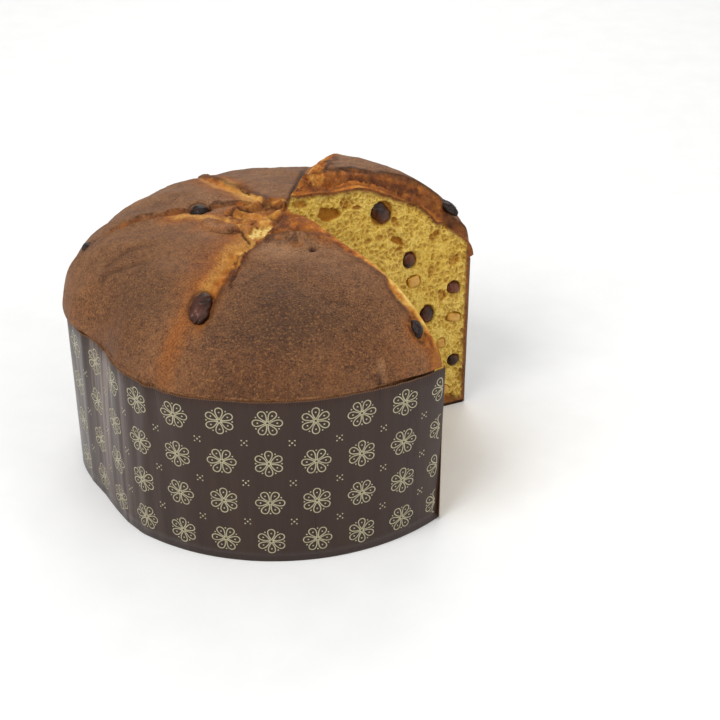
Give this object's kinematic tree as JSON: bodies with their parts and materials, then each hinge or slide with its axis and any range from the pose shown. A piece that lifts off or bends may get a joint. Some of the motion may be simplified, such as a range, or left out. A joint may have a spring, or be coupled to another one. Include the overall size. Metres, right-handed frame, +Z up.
{
  "type": "panettone",
  "caption": "Low, broad fruit bread in a printed paper case, with a scored dome and a wedge-shaped gap that shows yellow crumb, raisins and candied peel.",
  "frame": {"origin": "on the surface that the case stands on, under the middle of the round loaf", "axes": "+Z up; +X towards the gap; the gap runs from 48 degrees on the -Y side of +X to 21 degrees on its +Y side"},
  "size_m": [0.2071, 0.2126, 0.1444],
  "materials": {
    "loaf_crumb_and_crust": "baked bread: matt brown crust on the dome, yellow open crumb on the cuts",
    "case_paper": "waxed, finely ribbed baking paper, dark brown with a pale print",
    "raisin": "baked raisin, dark, wrinkled and slightly sticky",
    "candied_peel": "candied citrus peel, amber and half clear"
  },
  "bodies": {
    "root": {"raisin_01": "raisin", "raisin_02": "raisin", "raisin_03": "raisin", "raisin_04": "raisin", "raisin_05": "raisin", "raisin_06": "raisin", "raisin_07": "raisin", "raisin_08": "raisin", "raisin_09": "raisin", "raisin_10": "raisin", "raisin_11": "raisin", "raisin_12": "raisin", "raisin_13": "raisin", "raisin_14": "raisin", "raisin_15": "raisin", "raisin_16": "raisin", "raisin_17": "raisin", "raisin_18": "raisin", "raisin_19": "raisin", "raisin_20": "raisin", "raisin_21": "raisin", "raisin_22": "raisin", "raisin_23": "raisin", "raisin_24": "raisin", "raisin_25": "raisin", "raisin_26": "raisin", "raisin_27": "raisin", "raisin_28": "raisin", "raisin_29": "raisin", "raisin_30": "raisin", "raisin_31": "raisin", "raisin_32": "raisin", "raisin_33": "raisin", "raisin_34": "raisin", "raisin_35": "raisin", "raisin_36": "raisin", "raisin_37": "raisin", "raisin_38": "raisin", "candied_peel_01": "candied_peel", "candied_peel_02": "candied_peel", "candied_peel_03": "candied_peel", "candied_peel_04": "candied_peel", "candied_peel_05": "candied_peel", "candied_peel_06": "candied_peel", "candied_peel_07": "candied_peel", "candied_peel_08": "candied_peel", "candied_peel_09": "candied_peel", "candied_peel_10": "candied_peel", "candied_peel_11": "candied_peel", "candied_peel_12": "candied_peel", "candied_peel_13": "candied_peel", "candied_peel_14": "candied_peel", "candied_peel_15": "candied_peel", "candied_peel_16": "candied_peel", "paper_case": "case_paper", "loaf": "loaf_crumb_and_crust"}
  },
  "joints": []
}
